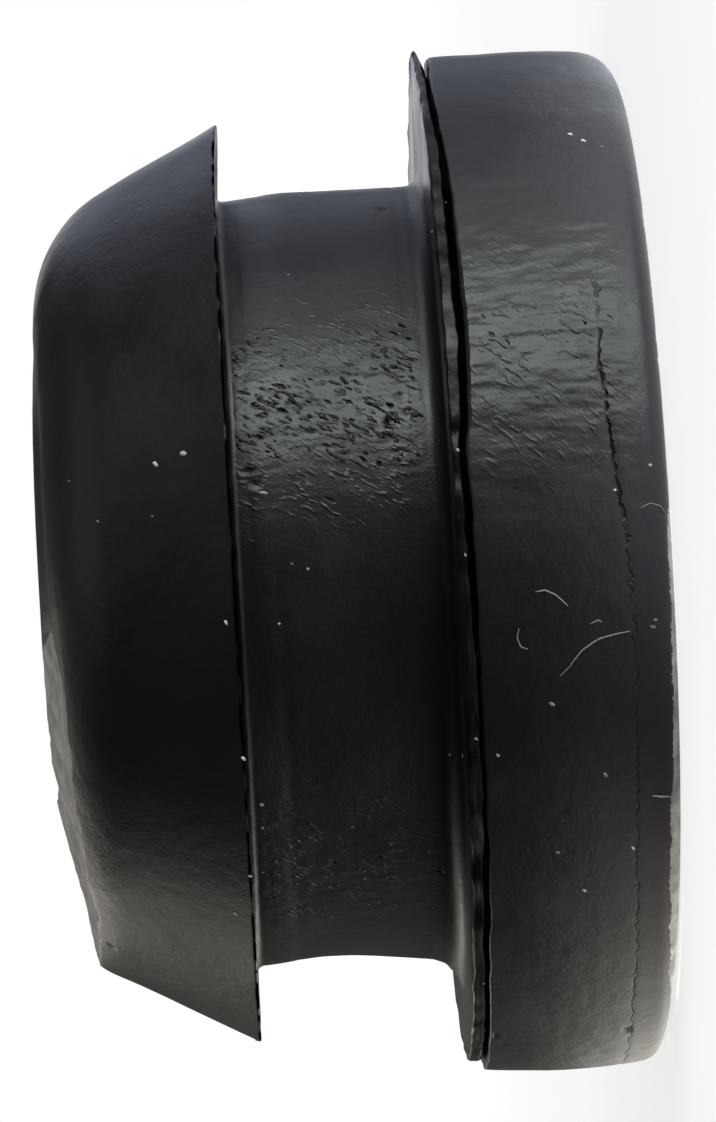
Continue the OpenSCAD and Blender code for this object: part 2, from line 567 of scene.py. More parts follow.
def placed(run, turn):
    """The moulding's surface at a run along the outline and an angle round it: the outline's point,
    plus each kind of relief, which is a height times bumps and ramps of the run, the height and the
    bearing. Gives the points in mm, how far each lies inside torn or cut rubber in mm, and how dark
    its colour is painted, where 1 is black: painted shade in the crevice, in the fillets and at the
    lip, and darkening along the trimmed edge and on the land."""
    radius = np.interp(run, run_mm, closed[:, 0])
    z = np.interp(run, run_mm, closed[:, 1])
    side = np.degrees((turn + np.pi) % (2 * np.pi) - np.pi)
    nr, nz = np.interp(run, rows_mm, out_r), np.interp(run, rows_mm, out_z)
    flat = on_ring(radius, z, turn)

    # Waviness of the whole moulding and the mould's orange peel.
    outside = fade(radius, BORE_R + 0.6, BORE_R + 1.2) * fade(z, 0.0, 0.4)
    relief = WAVE * lumps(flat, 3.0, 11) + RIPPLE * lumps(flat, 0.9, 12) + PEEL * lumps(flat, 0.42, 13)

    # The flange's wall is drawn into shallow axial streaks where the rubber shrank.
    on_wall = fade(run, PARTING_AT - 1.0, PARTING_AT - 0.4) * (1 - fade(run, RIM_AT - 0.25, RIM_AT - 0.1))
    lit_side = 0.35 + 0.65 * bell(side, 24, 20)
    streaks = lumps(flat / (0.5, 0.5, 1.6), 1.0, 21) + 0.5 * lumps(flat / (0.25, 0.25, 0.7), 1.0, 22)
    relief += on_wall * lit_side * STREAK * streaks

    # The groove's wall is pocked where air was trapped against the core.
    in_groove = fade(run, NECK_AT, NECK_AT + 0.4) * (1 - fade(run, BARB_AT - 0.3, BARB_AT))
    pocked = bell(side, 27, 14) + 0.5 * bell(side, -50, 12)
    relief += in_groove * pocked * POCK * lumps(flat / (1, 1, 1.6), 0.3, 23)

    # Low joint line of the mould on the flange's wall.
    ragged = lumps(flat * (1, 1, 0.05), 0.55, 31) + 0.6 * lumps(flat * (1, 1, 0.05), 0.22, 32)
    parting = np.interp(np.radians(side), parting_turn, parting_run)
    open_here = (0.3 + 0.7 * bell(side, 13, 9)) * (1 - fade(side, 31, 38))
    relief -= JOINT_DEPTH * open_here * bell(run, parting, JOINT_HALF)

    # Faint steps left by the mould's core near both ends of the groove.
    relief -= LOW_CORE_STEP * bell(run, NECK_AT + 0.3 + 0.06 * lumps(flat, 2.5, 41), 0.05)
    relief -= HIGH_CORE_STEP * bell(run, BARB_AT - 0.85 + 0.06 * lumps(flat, 2.5, 42), 0.09)

    # At -X the cone runs straight into a swollen corner of the nose, and the neck thickens towards
    # the flange.
    relief += NOSE_SWELL * bell(side, -92, 20) * bell(z, 13.9, 0.45) * (radius > 7)
    relief = relief * outside
    at_fillet = bell(run, FILLET_AT, 0.35) * bell(side, -92, 15)
    relief += FILLET_SWELL * at_fillet * (radius < 10.4)
    radial = nr * relief
    upward = nz * relief
    waist = (1 - fade(radius, 9.95, 10.8)) * fade(z, 4.0, 4.6) * (1 - fade(z, 10.0, 10.3)) * (radius > 9)
    radial += waist * bell(side, -92, 28) * (BARB_SWELL + NECK_SWELL * (1 - fade(z, 4.6, 8)))

    # Nose end: sliced flat on one side when the flash was trimmed, rising steeper towards -X.
    edge = np.interp(np.radians(side), trim_turn, trim_run, left=trim_run[0], right=trim_run[-1])
    edge = edge + 0.05 * ragged
    trim_mm = run - edge
    cut = fade(side, -150, -115) * (1 - fade(side, -22, 5)) * (z > LIP_Z)
    edge_r, edge_z = (np.interp(edge, run_mm, closed[:, k]) for k in (0, 1))
    steep = np.interp(side, SLICE_BEARINGS, SLICE_SLOPES)
    slice_z = edge_z - SLICE_STEP + steep * (edge_r - radius) + SLICE_ROUGH * lumps(flat, 0.3, 51)
    upward += cut * fade(trim_mm, 0, 0.05) * np.minimum(0, slice_z - z)

    # Step at the wall's edge, the crevice where the two halves of the mould met, and the torn land.
    bearing, heights, halves, opens = np.array(CREVICE).T
    half = CREVICE_SHARE * np.interp(side, bearing, halves)
    opened = np.interp(side, bearing, opens)
    crevice_z = np.interp(side, bearing, heights) + 0.025 * ragged
    near_rim = (radius > 12) & (run < FACE_AT + 0.3) & (z > 3)
    upward += near_rim * (crevice_z - 1.1 * half - LAND_Z) * fade(z, 3.9, 4.35) * (1 - fade(z, 4.5, 4.8))
    on_land = near_rim * fade(run, RIM_AT + 0.02, RIM_AT + 0.25)
    dip = np.exp(-(((z + upward - crevice_z) / half) ** 2))
    radial -= on_land * (CREVICE_SHUT + CREVICE_OPEN * opened) * (0.9 + 0.15 * ragged) * dip
    torn_land = LAND_COARSE * lumps(flat, 0.34, 61) + LAND_FINE * lumps(flat, 0.13, 62)
    radial += on_land * (SHUT_LAND * (1 - opened) + torn_land)
    radial += on_land * LAND_LUG * bell(side, 89, 9) * fade(z + upward, crevice_z, 4.82)
    upward += near_rim * (run > RIM_AT) * EDGE_LIFT * bell(side, 92, 12) * fade(radius, 12.0, 12.3)
    radial += (radius > 12) * WALL_SWELL * bell(side, 92, 16) * fade(z, 3.2, 4.4) * (run < RIM_AT + 0.1)

    # Painted shade, where 1 is black: in the crevice, along the lip and behind it, and in the groove's
    # two fillets. Also a dark line along the trimmed edge, and the land darkened in patches.
    joined = fade(lumps(flat, 0.35, 64), -1.5, -0.5)
    land_darkening = np.clip(0.5 + 0.3 * lumps(flat, 0.4, 65), 0.1, 0.8)
    dark = on_land * np.maximum(opened * joined * np.clip(1.5 * dip - 0.45, 0, 1), land_darkening)
    dark += 0.7 * cut * bell(trim_mm, -0.07, 0.06) * fade(ragged, -0.9, 0.2)
    dark += 0.8 * bell(run, LIP_AT + 0.02 * ragged, 0.06) * fade(lumps(flat, 0.5, 33), -0.6, 0.3)
    fillet_shade_streaks = 0.6 + 0.4 * lumps(flat / (1, 1, 0.2), 1.2, 34)
    dark += 0.55 * np.clip(fillet_shade_streaks, 0, 1) * bell(run, BARB_AT - 0.3, 0.1) * fade(z, 8, 9)
    dark += 0.6 * np.clip(fillet_shade_streaks, 0, 1) * bell(run, NECK_AT - 0.12, 0.16) * (z > 4.8) * (z < 6)
    behind_lip = fade(run, BARB_AT, BARB_AT + 0.2) * (1 - fade(run, LIP_AT - 0.02, LIP_AT + 0.08))
    dark += behind_lip * (0.2 + 0.5 * fade(lumps(flat, 0.35, 35), -0.7, 0.4))

    # The rim's face is uneven. Flange end: worn rounder at +X, bent up a little at -X, and a torn
    # sliver at the wall's foot.
    upward += (np.abs(run - FACE_AT) < 0.4) * FACE_ROUGH * lumps(flat, 0.4, 63) * (radius > 12)
    worn = bell(side, 88, 24) * fade(radius, 11.4, 12.2) * np.clip(1 - z / 0.95, 0, 1) ** 2
    radial -= WORN_CORNER * worn
    upward += BENT_END * bell(side, -78, 26) * fade(radius, 9, 12.2) * (1 - fade(z, 0.3, 1.2))
    tall = SLIVER_HIGH * fade(side, -66, -52) * (1 - fade(side, 2, 8)) + SLIVER_MORE * bell(side, -36, 15)
    foot_mm = tall + 0.03 * ragged - z
    on_foot = (radius > 12) & (z < 1.2)
    radial -= on_foot * SLIVER_DEPTH * fade(foot_mm, -0.02, 0.03)

    # The moulding is not quite true: the neck leans to -X, and the lip droops at the +X side.
    points = on_ring(radius + radial, z + upward, turn)
    points[..., 0] -= NECK_LEAN * fade(z, 8.2, 10)
    droop = np.interp(side, DROOP_BEARINGS, DROOPS)
    points[..., 2] -= fade(z, 12.5, 14.5) * fade(radius, 5.6, 6.8) * droop
    points[..., 2] -= LIP_SAG * bell(side, 92, 22) * fade(radius, 10.2, 11.2) * (z > 9.5)

    # Torn or cut rubber: the sliver at the foot, and the slice as far as the bore's mouth.
    on_end = np.minimum(trim_mm, radius - BORE_R - MOUTH) - 2.5 * (1 - cut)
    torn = np.where(on_foot, foot_mm, np.where(z > LIP_Z + 0.5, on_end, -1))
    return points, torn, dark


flat_turn, flat_run = np.meshgrid(turns, rows_mm)
skin, torn_mm, shaded = placed(flat_run, flat_turn)

# Pits as the camera sees them: place in the frame, length, width and depth in mm, and slant in
# degrees below the level.
PITS = [
    (280, 389, 0.20, 0.11, 0.07, -50),
    (268, 405, 0.18, 0.10, 0.06, -40),
    (276, 400, 0.30, 0.08, 0.06, -60),
    (287, 405, 0.26, 0.08, 0.06, -60),
    (305, 420, 0.20, 0.11, 0.07, -35),
    (313, 433, 0.18, 0.10, 0.06, -50),
    (326, 447, 0.16, 0.10, 0.06, -50),
    (308, 403, 0.20, 0.10, 0.07, -60),
    (320, 403, 0.16, 0.10, 0.06, -40),
    (343, 404, 0.18, 0.10, 0.07, -50),
    (343, 385, 0.16, 0.10, 0.06, -45),
    (361, 413, 0.20, 0.11, 0.07, -40),
    (373, 372, 0.22, 0.12, 0.08, -50),
    (390, 371, 0.20, 0.12, 0.08, -60),
    (401, 379, 0.18, 0.12, 0.08, -40),
    (398, 397, 0.22, 0.11, 0.08, -60),
    (408, 411, 0.20, 0.11, 0.08, -30),
    (391, 421, 0.36, 0.17, 0.12, -65),
    (346, 455, 0.20, 0.10, 0.07, -50),
    (398, 452, 0.20, 0.11, 0.07, -40),
    (247, 466, 0.30, 0.10, 0.09, -10),
    (256, 479, 0.32, 0.10, 0.09, -60),
    (381, 210, 0.22, 0.16, 0.08, -50),
    (627, 1030, 0.20, 0.14, 0.09, -20),
    (497, 1035, 0.22, 0.12, 0.10, 80),
    (112, 940, 0.24, 0.16, 0.08, -50),
    (221, 972, 0.18, 0.10, 0.06, 80),
]
PIT_RIM = 0.25
pit_turn, pit_run = sight_hits([pit[:2] for pit in PITS])
signed = (flat_turn + np.pi) % (2 * np.pi) - np.pi
sunk = np.zeros_like(signed)
for turn, run, (x, y, long, wide, deep, slant) in zip(pit_turn, pit_run, PITS):
    u = (signed - turn) * ring[:, None]
    v = flat_run - run
    lean = math.radians(slant)
    a = (u * math.sin(lean) + v * math.cos(lean)) / (long / 2)
    b = (u * math.cos(lean) - v * math.sin(lean)) / (wide / 2)
    far = np.sqrt(a * a + b * b)
    sunk += PIT_RIM * deep * bell(far, 1.5, 0.4) - deep * np.exp(-(far**3))
skin += sunk[..., None] * np.stack(
    [out_r[:, None] * np.sin(turns), -out_r[:, None] * np.cos(turns), out_z[:, None] + 0 * turns], -1
)


UNROLL_R = 11


def wrapped_mesh(name, points, turns, runs):
    """A closed surface from a grid of points in mm that joins up both ways. Columns run round the
    bore from -Y towards +X and rows run up the outside, which faces outwards. Its UV map unrolls it
    in mm: the angle times one radius, and the run along the outline."""
    rows, columns = points.shape[:2]
    index = np.arange(rows * columns).reshape(rows, columns)
    right = np.roll(index, -1, 1)
    quads = np.stack([index, right, np.roll(right, -1, 0), np.roll(index, -1, 0)], axis=-1)
    mesh = bpy.data.meshes.new(name)
    mesh.from_pydata((points.reshape(-1, 3) * MM).tolist(), [], quads.reshape(-1, 4).tolist())
    mesh.shade_smooth()
    u = np.append(turns, turns[0] + 2 * np.pi) * UNROLL_R
    v = np.append(runs, runs[0] + around_mm)
    here = np.stack(np.broadcast_arrays(u[None, :], v[:, None]), -1)
    corner = np.stack([here[:-1, :-1], here[:-1, 1:], here[1:, 1:], here[1:, :-1]], axis=2)
    mesh.uv_layers.new(name="unrolled_mm").data.foreach_set("uv", corner.astype(np.float32).ravel())
    piece = bpy.data.objects.new(name, mesh)
    bpy.context.scene.collection.objects.link(piece)
    return piece


def keep_values(piece, name, values):
    """Stores one number per vertex under this name, for the material to read."""
    kept = piece.data.attributes.new(name, "FLOAT", "POINT")
    kept.data.foreach_set("value", values.astype(np.float32).ravel())


# Where the rubber is pitted and wrinkled, and how open the joint is: on the camera's lit side.
bearing_here = np.degrees(signed)
groove_here = fade(flat_run, NECK_AT, NECK_AT + 0.3) * (1 - fade(flat_run, BARB_AT - 0.1, BARB_AT + 0.05))
wall_here = fade(flat_run, PARTING_AT - 0.9, PARTING_AT) * (1 - fade(flat_run, RIM_AT - 0.1, RIM_AT))
pitted = groove_here * (bell(bearing_here, 25, 11) + 0.45 * bell(bearing_here, -48, 12))
pitted += wall_here * 0.35 * bell(bearing_here, 22, 10)
wrinkled = wall_here * bell(bearing_here, 25, 12) + 0.6 * groove_here * bell(bearing_here, -50, 12)
wrinkled += 0.35 * groove_here * bell(bearing_here, 25, 12)
bushing = wrapped_mesh("bushing_skin", skin, turns, rows_mm)
keep_values(bushing, "torn_mm", torn_mm)
keep_values(bushing, "pitted", pitted)
keep_values(bushing, "wrinkled", wrinkled)
keep_values(bushing, "shaded", shaded)
keep_values(bushing, "joint_mm", flat_run - np.interp(signed, parting_turn, parting_run))
joint_open = 0.25 + 0.6 * bell(bearing_here, 15, 10)
keep_values(bushing, "joint_open", joint_open * (1 - fade(bearing_here, 29, 36)) * (ring > 12)[:, None])


# Sizes in mm of what the mould and the air in it left on the rubber, and the slant of its pits.
PATCH, FIBRE, PEEL_GRAIN, FINE_GRAIN = 2.2, 0.5, 0.35, 0.09
PIT_LONG, PIT_WIDE, PIT_BEND = 0.40, 0.15, 0.16
SCUFF_LONG, SCUFF_WIDE = 0.30, 0.12
FOLD_WIDE, FOLD_LONG = 0.36, 1.0
PIT_PATCH, SCUFF_PATCH, CRACK_PATCH, CRACK_RAVEL, TEAR_RAVEL = 1.1, 0.9, 0.5, 0.25, 0.12
PIT_SLANT = math.radians(-52)


def moulded_rubber():
    """Black rubber, compression moulded and satin: nearly black, with a broad soft gloss. Pits and
    creases where air was trapped, their darkness painted shade, and paler, rougher rubber where the
    flash was torn or cut off, its paleness partly a painted highlight of glare. Painted shade also
    darkens the crevice, the lip and the fillets.
    The finest grain is drawn coarser than the real one, so that it shows."""
    material, tree = new_material("moulded black rubber")
    place = add_node(tree, "ShaderNodeTexCoord").outputs["Object"]
    unrolled = add_node(tree, "ShaderNodeUVMap", uv_map="unrolled_mm").outputs["UV"]
    kept = {
        name: add_node(tree, "ShaderNodeAttribute", attribute_name=name).outputs["Fac"]
        for name in ("torn_mm", "pitted", "wrinkled", "shaded", "joint_mm", "joint_open")
    }

    # Pits and scuffs are slanted, and folds run along the axis: the map is turned and stretched.
    slanted = add_node(
        tree,
        "ShaderNodeVectorRotate",
        {"Vector": unrolled, "Angle": PIT_SLANT},
        rotation_type="Z_AXIS",
    ).outputs[0]
    stretched = {}
    for mark, source, x_size, y_size in (
        ("pit", slanted, PIT_LONG, PIT_WIDE),
        ("scuff", slanted, SCUFF_LONG, SCUFF_WIDE),
        ("fold", unrolled, FOLD_WIDE, FOLD_LONG),
    ):
        stretched[mark] = add_node(
            tree, "ShaderNodeVectorMath", {0: source, 1: (1 / x_size, 1 / y_size, 1.0)}, operation="MULTIPLY"
        ).outputs[0]

    # Noises: each with the vector that it reads, its grain in that vector's unit, and its detail.
    noise = {}
    for mark, source, size, detail in (
        ("patch", place, PATCH * MM, 4.0),
        ("fibre", place, FIBRE * MM, 5.0),
        ("peel", place, PEEL_GRAIN * MM, 3.0),
        ("fine", place, FINE_GRAIN * MM, 2.0),
        ("pit_bend", unrolled, PIT_BEND, 2.0),
        ("pit_patch", unrolled, PIT_PATCH, 2.0),
        ("scuff_patch", unrolled, SCUFF_PATCH, 2.0),
        ("scuff", stretched["scuff"], 1.0, 1.0),
        ("crack_ravel", unrolled, CRACK_RAVEL, 4.0),
        ("crack_patch", unrolled, CRACK_PATCH, 3.0),
        ("fold", stretched["fold"], 1.0, 1.5),
        ("tear_ravel", unrolled, TEAR_RAVEL, 3.0),
    ):
        noise[mark] = add_node(
            tree, "ShaderNodeTexNoise", {"Vector": source, "Scale": 1 / size, "Detail": detail}
        ).outputs

    # Pits: slanted cells of a Voronoi pattern, each kept or not by its own random number.
    bent = add_node(
        tree,
        "ShaderNodeVectorMath",
        {0: noise["pit_bend"]["Color"], 1: (0.5, 0.8, 0), 2: stretched["pit"]},
        operation="MULTIPLY_ADD",
    ).outputs[0]
    cells = add_node(
        tree, "ShaderNodeTexVoronoi", {"Vector": bent, "Scale": 1.0}, voronoi_dimensions="2D"
    ).outputs
    lots = add_node(tree, "ShaderNodeSeparateColor", {0: cells["Color"]}).outputs
    often = add_node(
        tree,
        "ShaderNodeMapRange",
        {
            "Value": noise["pit_patch"]["Fac"],
            "From Min": 0.42,
            "From Max": 0.62,
            "To Min": 0.06,
            "To Max": 0.4,
        },
        **EASED,
    ).outputs[0]
    chance = add_node(
        tree, "ShaderNodeMath", {0: kept["pitted"], 1: often}, operation="MULTIPLY"
    ).outputs[0]
    lucky = add_node(tree, "ShaderNodeMath", {0: chance, 1: lots[0]}, operation="SUBTRACT").outputs[0]
    chosen = add_node(
        tree, "ShaderNodeMapRange", {"Value": lucky, "From Min": 0.0, "From Max": 0.1}, **EASED
    ).outputs[0]
    pit_half = add_node(
        tree, "ShaderNodeMapRange", {"Value": lots[1], "To Min": 0.12, "To Max": 0.42}, **EASED
    ).outputs[0]
    far = add_node(
        tree, "ShaderNodeMath", {0: cells["Distance"], 1: pit_half}, operation="DIVIDE"
    ).outputs[0]
    hollow = add_node(
        tree, "ShaderNodeMapRange", {"Value": far, "From Min": 1.15, "From Max": 0.05}, **EASED
    ).outputs[0]
    pit = add_node(tree, "ShaderNodeMath", {0: hollow, 1: chosen}, operation="MULTIPLY").outputs[0]

    # Scuffs between them: short slanted ridges, the peaks of a noise drawn out the same way.
    often = add_node(
        tree,
        "ShaderNodeMapRange",
        {
            "Value": noise["scuff_patch"]["Fac"],
            "From Min": 0.42,
            "From Max": 0.6,
            "To Min": 0.1,
            "To Max": 1.0,
        },
        **EASED,
    ).outputs[0]
    scuffed = add_node(
        tree, "ShaderNodeMath", {0: kept["pitted"], 1: often}, operation="MULTIPLY"
    ).outputs[0]
    ridge = add_node(
        tree,
        "ShaderNodeMapRange",
        {"Value": noise["scuff"]["Fac"], "From Min": 0.5, "From Max": 0.78},
        **EASED,
    ).outputs[0]
    scuff = add_node(tree, "ShaderNodeMath", {0: ridge, 1: scuffed}, operation="MULTIPLY").outputs[0]

    # The mould's joint on the wall: a ragged crack along a kept distance, broken into lengths.
    ravel = add_node(
        tree,
        "ShaderNodeMapRange",
        {
            "Value": noise["crack_ravel"]["Fac"],
            "From Min": 0.2,
            "From Max": 0.8,
            "To Min": -0.08,
            "To Max": 0.08,
        },
        **EASED,
    ).outputs[0]
    astray = add_node(tree, "ShaderNodeMath", {0: kept["joint_mm"], 1: ravel}, operation="ADD").outputs[0]
    astray = add_node(tree, "ShaderNodeMath", {0: astray}, operation="ABSOLUTE").outputs[0]
    gap = add_node(
        tree, "ShaderNodeMapRange", {"Value": astray, "From Min": 0.055, "From Max": 0.015}, **EASED
    ).outputs[0]
    lengths = add_node(
        tree,
        "ShaderNodeMapRange",
        {"Value": noise["crack_patch"]["Fac"], "From Min": 0.36, "From Max": 0.52},
        **EASED,
    ).outputs[0]
    crack = add_node(tree, "ShaderNodeMath", {0: gap, 1: lengths}, operation="MULTIPLY").outputs[0]
    crack = add_node(
        tree, "ShaderNodeMath", {0: crack, 1: kept["joint_open"]}, operation="MULTIPLY"
    ).outputs[0]

    # Wrinkles: soft folds along the axis.
    fold = add_node(
        tree, "ShaderNodeMath", {0: noise["fold"]["Fac"], 1: kept["wrinkled"]}, operation="MULTIPLY"
    ).outputs[0]

    # Torn or cut rubber, with a ragged edge.
    ravel = add_node(
        tree,
        "ShaderNodeMapRange",
        {
            "Value": noise["tear_ravel"]["Fac"],
            "From Min": 0.2,
            "From Max": 0.8,
            "To Min": -0.03,
            "To Max": 0.03,
        },
        **EASED,
    ).outputs[0]
    frayed = add_node(tree, "ShaderNodeMath", {0: kept["torn_mm"], 1: ravel}, operation="ADD").outputs[0]
    torn = add_node(
        tree, "ShaderNodeMapRange", {"Value": frayed, "From Min": -0.004, "From Max": 0.012}, **EASED
    ).outputs[0]
    strands = add_node(
        tree,
        "ShaderNodeMapRange",
        {"Value": noise["fibre"]["Fac"], "From Min": 0.3, "From Max": 0.7},
        **EASED,
    ).outputs[0]

    # Colour: two blacks in patches, the greys of torn rubber over them, lightened almost to white as a
    # painted highlight of glare, and painted shade over it all, down to near black.
    torn_grey_and_glare = add_node(
        tree,
        "ShaderNodeMix",
        {0: strands, 6: linear("#84837f"), 7: linear("#b9b6ae")},
        data_type="RGBA",
    ).outputs[2]
    tone = add_node(
        tree,
        "ShaderNodeMix",
        {0: noise["patch"]["Fac"], 6: linear("#0d0c0e"), 7: linear("#131214")},
        data_type="RGBA",
    ).outputs[2]
    for share, over in ((torn, torn_grey_and_glare), (kept["shaded"], linear("#020202"))):
        tone = add_node(tree, "ShaderNodeMix", {0: share, 6: tone, 7: over}, data_type="RGBA").outputs[2]

    # Relief: each height with what a full step of it stands in mm, laid one over the other.
    dent = add_node(tree, "ShaderNodeMath", {0: scuff, 1: pit}, operation="SUBTRACT").outputs[0]
    dent = add_node(tree, "ShaderNodeMath", {0: dent, 1: crack}, operation="SUBTRACT").outputs[0]
    rough_cut = add_node(
        tree, "ShaderNodeMath", {0: noise["fibre"]["Fac"], 1: torn}, operation="MULTIPLY"
    ).outputs[0]
    laid = {}
    for height, stands in (
        (noise["peel"]["Fac"], 0.014),
        (noise["fine"]["Fac"], 0.005),
        (fold, 0.085),
        (dent, 0.05),
        (rough_cut, 0.012),
    ):
        bump = add_node(tree, "ShaderNodeBump", {"Height": height, "Distance": stands * MM, **laid})
        laid = {"Normal": bump.outputs["Normal"]}

    # Gloss: satin, rougher where it is torn, and taken away in pits, in the crack and where shade is
    # painted, which paints shade there.
    satin = add_node(
        tree,
        "ShaderNodeMapRange",
        {
            "Value": noise["patch"]["Fac"],
            "From Min": 0.3,
            "From Max": 0.7,
            "To Min": 0.34,
            "To Max": 0.42,
        },
        **EASED,
    ).outputs[0]
    rougher = add_node(tree, "ShaderNodeMath", {0: torn, 1: 0.2}, operation="MULTIPLY").outputs[0]
    rough = add_node(tree, "ShaderNodeMath", {0: satin, 1: rougher}, operation="ADD").outputs[0]
    dull = add_node(
        tree,
        "ShaderNodeMapRange",
        {"Value": lots[0], "From Min": 0.02, "From Max": 0.2, "To Min": 0.9, "To Max": 0.3},
        **EASED,
    ).outputs[0]
    cavity = add_node(tree, "ShaderNodeMath", {0: pit, 1: dull}, operation="MULTIPLY").outputs[0]
    for other in (crack, kept["shaded"]):
        cavity = add_node(tree, "ShaderNodeMath", {0: cavity, 1: other}, operation="MAXIMUM").outputs[0]
    gloss = add_node(
        tree,
        "ShaderNodeMapRange",
        {"Value": cavity, "From Min": 0.1, "From Max": 0.9, "To Min": 0.5, "To Max": 0.0},
        **EASED,
    ).outputs[0]
    shader = add_node(
        tree,
        "ShaderNodeBsdfPrincipled",
        {"Base Color": tone, "Roughness": rough, "IOR": 1.5, "Specular IOR Level": gloss, **laid},
    )
    add_node(tree, "ShaderNodeOutputMaterial", {"Surface": shader.outputs[0]})
    return material


rubber = moulded_rubber()
bushing.data.materials.append(rubber)
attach(bushing, "root")
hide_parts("bushing")

# ---------------------------------------------------------------------------------------------
# Dust. White specks of dust and crumbs of mould release that stick to the rubber where it was
# handled. Each is a flattened grain, half sunk in the surface.
# ---------------------------------------------------------------------------------------------
REACH_OUT = 0.05


def perched(spots):
    """The surface under spots in the frame's pixels: points in mm, and the unit vectors that run
    towards the frame's right, towards its bottom and out of the surface there. They come from the
    points a short reach away along the outline and round the bore."""
    turn, run = sight_hits(spots)
    here = placed(run, turn)[0]
    rightward = here - placed(run + REACH_OUT, turn)[0]
    downward = placed(run, turn - REACH_OUT / UNROLL_R)[0] - here
    rightward /= np.linalg.norm(rightward, axis=1)[:, None]
    outward = np.cross(downward, rightward)
    outward /= np.linalg.norm(outward, axis=1)[:, None]
    return here, rightward, np.cross(rightward, outward), outward


def joined_mesh(name, points, faces):
    """One mesh from a list of point arrays in mm and, for each, its list of faces."""
    starts = np.cumsum([0] + [len(part) for part in points[:-1]])
    every = [(face + start).tolist() for part, start in zip(faces, starts) for face in part]
    mesh = bpy.data.meshes.new(name)
    mesh.from_pydata((np.concatenate(points) * MM).tolist(), [], every)
    mesh.shade_smooth()
    piece = bpy.data.objects.new(name, mesh)
    bpy.context.scene.collection.objects.link(piece)
    return piece


def tube_faces(rings, sides):
    """Quads between rings of points that follow each other. They face outwards where the rings
    turn clockwise, seen from beyond the last."""
    index = np.arange(rings * sides).reshape(rings, sides)
    right = np.roll(index, -1, 1)
    return np.stack([index[:-1], index[1:], right[1:], right[:-1]], axis=-1).reshape(-1, 4)


# Specks as the camera sees them: place in the frame, length and width in mm, lean below the level.
SPECKS = [
    (155, 458, 0.26, 0.14, 50),
    (183, 447, 0.24, 0.18, 10),
    (152, 510, 0.12, 0.07, 20),
    (570, 134, 0.20, 0.12, 30),
    (583, 141, 0.20, 0.12, 40),
    (602, 147, 0.13, 0.09, 40),
    (226, 616, 0.18, 0.11, 60),
    (279, 621, 0.10, 0.08, 20),
    (292, 563, 0.12, 0.08, 20),
    (308, 569, 0.12, 0.09, 30),
    (243, 752, 0.18, 0.12, 40),
    (261, 799, 0.16, 0.12, 0),
    (262, 822, 0.14, 0.11, 40),
    (250, 870, 0.14, 0.10, 0),
    (235, 907, 0.16, 0.09, 20),
    (220, 930, 0.18, 0.10, 30),
    (463, 756, 0.14, 0.09, 60),
    (478, 737, 0.12, 0.09, 30),
    (500, 755, 0.13, 0.10, 40),
    (464, 863, 0.13, 0.08, 80),
    (487, 869, 0.13, 0.10, 30),
    (552, 704, 0.20, 0.12, 30),
    (606, 775, 0.18, 0.12, 50),
    (558, 852, 0.16, 0.10, 20),
    (584, 890, 0.16, 0.10, 50),
    (633, 848, 0.16, 0.09, 60),
    (653, 627, 0.20, 0.13, 20),
    (655, 620, 0.12, 0.10, 20),
    (650, 465, 0.12, 0.10, 0),
    (615, 490, 0.11, 0.08, 0),
    (432, 232, 0.12, 0.08, 60),
    (447, 193, 0.12, 0.08, 20),
    (459, 450, 0.14, 0.09, 50),
    (465, 555, 0.13, 0.08, 70),
    (487, 982, 0.12, 0.08, 70),
    (450, 755, 0.12, 0.09, 70),
    (289, 275, 0.10, 0.07, 20),
    (263, 489, 0.30, 0.11, 15),
    (257, 1034, 0.22, 0.14, 60),
    (60, 475, 0.08, 0.06, 20),
    (95, 515, 0.10, 0.07, 60),
]
spots, rights, downs, outs = perched([speck[:2] for speck in SPECKS])
# A grain is a ball of rings between two poles, squashed to 0.6 of its width and knocked about at
# random. The shares bring the sizes above down to what the eye takes for dust.
GRAIN_RINGS, GRAIN_SIDES = 5, 10
LONG_SHARE, WIDE_SHARE, SQUASH = 0.39, 0.36, 0.6
dice = np.random.default_rng(7)
tilt = np.linspace(0, np.pi, GRAIN_RINGS + 2)[1:-1, None]
spin = np.linspace(0, 2 * np.pi, GRAIN_SIDES, endpoint=False)
ball = np.stack(
    np.broadcast_arrays(np.sin(tilt) * np.cos(spin), np.sin(tilt) * np.sin(spin), np.cos(tilt)), -1
)
grains = []
for spot, right, down, out, speck in zip(spots, rights, downs, outs, SPECKS):
    long, wide, lean = LONG_SHARE * speck[2], WIDE_SHARE * speck[3], math.radians(speck[4])
    along_it = math.cos(lean) * right + math.sin(lean) * down
    across_it = math.cos(lean) * down - math.sin(lean) * right
    lumpy = ball * dice.uniform(0.75, 1.15, ball.shape[:2] + (1,))
    grain = lumpy[..., :1] * along_it * long + lumpy[..., 1:2] * across_it * wide
    grain -= lumpy[..., 2:] * out * wide * SQUASH
    ends = spot + np.array([-SQUASH, SQUASH])[:, None] * out * wide
    grains.append(np.concatenate([(spot + grain).reshape(-1, 3), ends]))
body = tube_faces(GRAIN_RINGS, GRAIN_SIDES)
first_pole = GRAIN_RINGS * GRAIN_SIDES
edge = np.arange(GRAIN_SIDES)
last_edge = first_pole - GRAIN_SIDES + edge
cap = np.stack([edge, np.roll(edge, -1), np.full(GRAIN_SIDES, first_pole)], -1)
lid = np.stack([last_edge, np.full(GRAIN_SIDES, first_pole + 1), np.roll(last_edge, -1)], -1)
grain_faces = [*body, *cap, *lid]
dust = joined_mesh("dust_specks", grains, [grain_faces] * len(grains))
